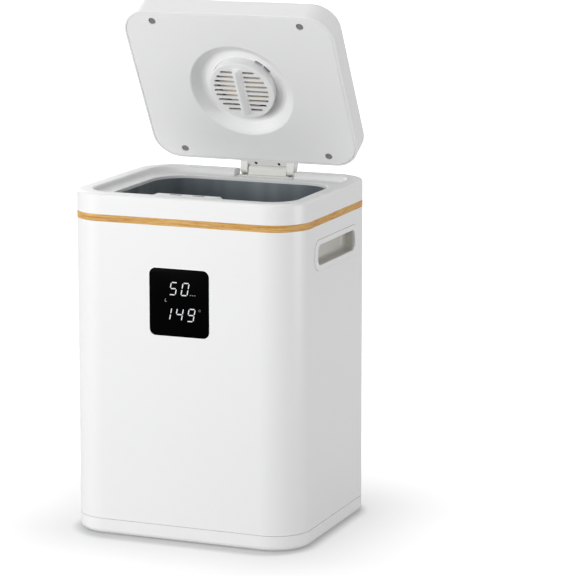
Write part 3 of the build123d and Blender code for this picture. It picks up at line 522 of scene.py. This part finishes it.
displayGlass(windowSet)
windowRim(rimSet)
litDigits(digitSet)
litMarks(markSet)
print("display made")

gripSet = {"width": 0.0005, "corner": 0.0135, "sink": 0.0002, "proud": 0.00003}


# parting line round a grip's frame on the side wall: a thin flat strip, its grey painted shade of the gap
def gripShadeLine(node, side, s):
    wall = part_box("outer_shell")[1].x
    outsets = (0, 0, s["width"], s["width"])
    levels = [side * (wall + away) for away in (-s["sink"], s["proud"], s["proud"], -s["sink"])]
    rows = carriedRows(node, 0, outsets, levels, s["corner"])
    name = node.replace("handle_cup_", "gripShadeLine")
    faces = gridFaces(*rows.shape[:2], ring=True)
    closeUp(meshPiece(name, rows, faces, "partingShadeGrey", "root", smooth=False))


tabSet = {
    "starts": (-0.0217, 0.0079), "count": 5, "pitch": 0.003, "width": 0.0022, "reach": 0.0044,
    "front": -0.1134, "thick": 0.00005,
}


# two rows of plain grey strokes let into the top of the front tab
def tabMarks(s):
    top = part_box("top_collar")[1].z
    front, back = s["front"], s["front"] + s["reach"]
    outlines = []
    for left in np.add.outer(s["starts"], np.arange(s["count"]) * s["pitch"]).ravel():
        right = left + s["width"]
        outlines.append(((left, front), (right, front), (right, back), (left, back)))
    levels = (top - s["thick"], top + s["thick"])
    closeUp(platePiece("tabMarks", outlines, 2, levels, "markGrey"))


gripShadeLine("handle_cup_right", 1, gripSet)
gripShadeLine("handle_cup_left", -1, gripSet)
tabMarks(tabSet)
print("parting lines and marks made")

padSet = {
    "radius": 0.034, "crown": 0.0088, "round": 0.0022, "turns": 144,
    "topRings": 40, "edgeRings": 7, "underRings": 12, "lumpyEdge": 4,
    # the felt's lumps: fine ones, bent by slower waves, and a share of coarse ones, in radians per metre
    "fuzz": 0.00025, "fine": (5200, 4700), "bend": (2100, 2600), "bendSize": (3, 2),
    "coarse": (1700, 2300, 1900, 1300), "coarseShare": 0.6,
}
capJoint = next(joint for joint in frame["joints"] if joint["name"] == "cap_twist")
capMiddle = np.array(capJoint["pos_m"], float)
capOutward = np.array(capJoint["axis"], float)


# place on the lid: x across, y towards the hinge, depth behind the inner face
def onLid(x, y, depth):
    across = np.array((1.0, 0.0, 0.0))
    up = np.cross(capOutward, across)
    return (capMiddle + np.multiply.outer(x, across) + np.multiply.outer(y, up)
            - np.multiply.outer(depth, capOutward))


# how deep the CAD pad lies behind the lid's inner face: its least and greatest depth
def padDepths():
    data = nodes["aroma_pad"].data
    points = np.zeros(len(data.vertices) * 3, np.float32)
    data.vertices.foreach_get("co", points)
    depth = (capMiddle - points.reshape(-1, 3)) @ capOutward
    return depth.min(), depth.max()


# height of the felt's lumps, from 0 up: products of sines, lifted by their greatest fall
def feltLumps(x, y, s):
    (fineX, fineY), (bendY, bendX), (byY, byX) = s["fine"], s["bend"], s["bendSize"]
    fine = np.sin(x * fineX + byY * np.sin(y * bendY)) * np.sin(y * fineY + byX * np.sin(x * bendX))
    firstX, firstY, secondY, secondX = s["coarse"]
    coarse = np.sin(x * firstX + y * firstY) * np.sin(y * secondY - x * secondX)
    return (fine + s["coarseShare"] * coarse + 1 + s["coarseShare"]) * s["fuzz"] / 2


# felt disc: its upper side falls from the middle as the square of the radius, its edge is a quarter circle
# and its underside is flat; the lumps cover the upper side and part of the edge
def feltPad(s):
    near, far = padDepths()
    share = np.linspace(0, 1, s["topRings"])
    edge = np.linspace(0, math.pi / 2, s["edgeRings"])
    under = np.linspace(1, 0, s["underRings"])
    flat = s["radius"] - s["round"]
    radius = np.concatenate([share * flat, flat + s["round"] * np.sin(edge), under * s["radius"]])
    fall = np.concatenate([s["crown"] * share ** 2, s["crown"] + s["round"] * (1 - np.cos(edge))])
    depth = np.append(near + fall, np.full(len(under), far))
    turn = np.linspace(0, 2 * math.pi, s["turns"], endpoint=False)
    ring, angle = np.meshgrid(radius, turn, indexing="ij")
    x, y = ring * np.cos(angle), ring * np.sin(angle)
    lumpy = np.arange(len(radius)) < s["topRings"] + s["lumpyEdge"]
    depth = depth[:, None] + np.where(lumpy[:, None], feltLumps(x, y, s), 0.0)
    x[[0, -1]], y[[0, -1]], depth[0] = 0.0, 0.0, depth[0].mean()
    piece = meshPiece("feltPad", onLid(x, y, depth), gridFaces(*x.shape), "feltTan", "lid")
    closeUp(piece)
    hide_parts("aroma_pad")


feltPad(padSet)
print("scent pad made")


# puts a camera or lamp at its place, upright and looking along a direction
def stand(data, at, direction):
    thing = bpy.data.objects.new(data.name, data)
    thing.location = at
    thing.rotation_euler = direction.to_track_quat("-Z", "Y").to_euler()
    bpy.context.scene.collection.objects.link(thing)
    return thing


cameraSet = {
    "azimuth": 21.93, "elevation": 11.0, "distance": 3.4849, "target": (0.08751, -0.00827, 0.29626),
    "lens": 179.38, "sensor": 36.0, "reach": 30.0,
}


# the camera stands back from its target, at an azimuth from the front and an elevation
def addCamera(s):
    azimuth, elevation = math.radians(s["azimuth"]), math.radians(s["elevation"])
    level = math.cos(elevation)
    back = Vector((math.sin(azimuth) * level, -math.cos(azimuth) * level, math.sin(elevation)))
    data = bpy.data.cameras.new("camera")
    data.lens = s["lens"]
    data.sensor_width = s["sensor"]
    data.clip_end = s["reach"]
    bpy.context.scene.camera = stand(data, Vector(s["target"]) + back * s["distance"], -back)


lampSet = {
    "aim": (0.0, 0.0, 0.32),
    "lamps": {
        "key": {"at": (-2.0, -2.3, 0.5), "size": (2.2, 0.95), "power": 39.0},
        "front": {"at": (-0.4, -3.0, 0.8), "size": (2.8, 1.3), "power": 32.0},
        "right": {"at": (2.6, 0.1, 0.25), "size": (1.2, 0.5), "power": 23.0},
        "top": {"at": (-0.2, 0.0, 2.4), "size": (2.0, 1.6), "power": 15.0},
        "back": {"at": (-2.2, 2.2, 1.6), "size": (1.8, 1.4), "power": 22.0},
    },
}


# oblong lamps that all look at one place on the object
def addLamps(s):
    for name, lamp in s["lamps"].items():
        data = bpy.data.lights.new(name, "AREA")
        data.shape = "RECTANGLE"
        data.size, data.size_y = lamp["size"]
        data.energy = lamp["power"]
        stand(data, lamp["at"], Vector(s["aim"]) - Vector(lamp["at"]))


worldSet = {"light": 0.22, "seen": 1.0}


# the world lights the object softly, but is plain white to the camera and in reflections
def addWorld(s):
    world = bpy.data.worlds.new("studio")
    bpy.context.scene.world = world
    f = Finish(world)
    camera, glossy, through = f.rays()        # a Mix node takes its two numbers in sockets 2 and 3
    strength = f.node("ShaderNodeMix", None, {0: camera + glossy + through, 2: s["light"], 3: s["seen"]})
    f.end(f.node("ShaderNodeBackground", None, {"Color": (1, 1, 1, 1), "Strength": strength}),
          "ShaderNodeOutputWorld")


floorSet = {
    "color": (200, 200, 201), "size": 14.0, "glow": 1.5, "mirror": 0.4,
    "reach": 0.8, "corner": 0.055, "shadowAhead": 0.01, "tall": 9.0,
    # share of glow in the floor that the camera sees, by distance from the body's outline over reach;
    # the small share near the body paints a shadow there
    "shares": ((0.0, 0.16), (0.014, 0.4), (0.1, 0.52), (0.3, 0.72), (1.0, 1.0)),
}


# pale floor with the object's real shadow: to the camera it turns to white glow with the distance from the body,
# so that near the body it is darker, a painted shadow on top of the real one; the distance is how far a place lies
# outside the body's rectangle, let out in front (which paints more shadow there) and rounded by the corner;
# the rectangle is so tall that height adds nothing
def addFloor(s):
    f = Finish(bpy.data.materials.new("studioFloor"))
    camera, glossy, through = f.rays()
    low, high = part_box("outer_shell")
    low.y -= s["shadowAhead"]
    half = (high - low) / 2
    block = (half.x - s["corner"], half.y - s["corner"], s["tall"])
    offset = f.vectors("SUBTRACT", f.place(), (low + high) / 2)
    outside = f.vectors("SUBTRACT", f.vectors("ABSOLUTE", offset), block)
    distance = f.vectors("LENGTH", f.vectors("MAXIMUM", outside, (0, 0, 0)), outlet="Value")
    nearness = (distance - s["corner"]) * (1 / s["reach"])
    share = f.ramp(nearness, [(at, (level, level, level, 1)) for at, level in s["shares"]])
    base = f.node("ShaderNodeBsdfDiffuse", None, {"Color": paint(s["color"])})
    glow = f.node("ShaderNodeEmission", None, {"Color": (1, 1, 1, 1), "Strength": s["glow"]})
    amount = share * (camera + (glossy + through) * s["mirror"])
    f.end(f.node("ShaderNodeMixShader", None, {0: amount, 1: base, 2: glow}))
    corners = [(x * s["size"] / 2, y * s["size"] / 2, 0) for x, y in ((-1, -1), (1, -1), (1, 1), (-1, 1))]
    data = bpy.data.meshes.new("studioFloor")
    data.from_pydata(corners, [], [(0, 1, 2, 3)])
    data.materials.append(f.owner)
    floor = bpy.data.objects.new("studioFloor", data)
    bpy.context.scene.collection.objects.link(floor)


addCamera(cameraSet)
addLamps(lampSet)
addWorld(worldSet)
addFloor(floorSet)
bpy.context.scene.view_settings.view_transform = "Standard"
print("camera, lamps and floor placed")
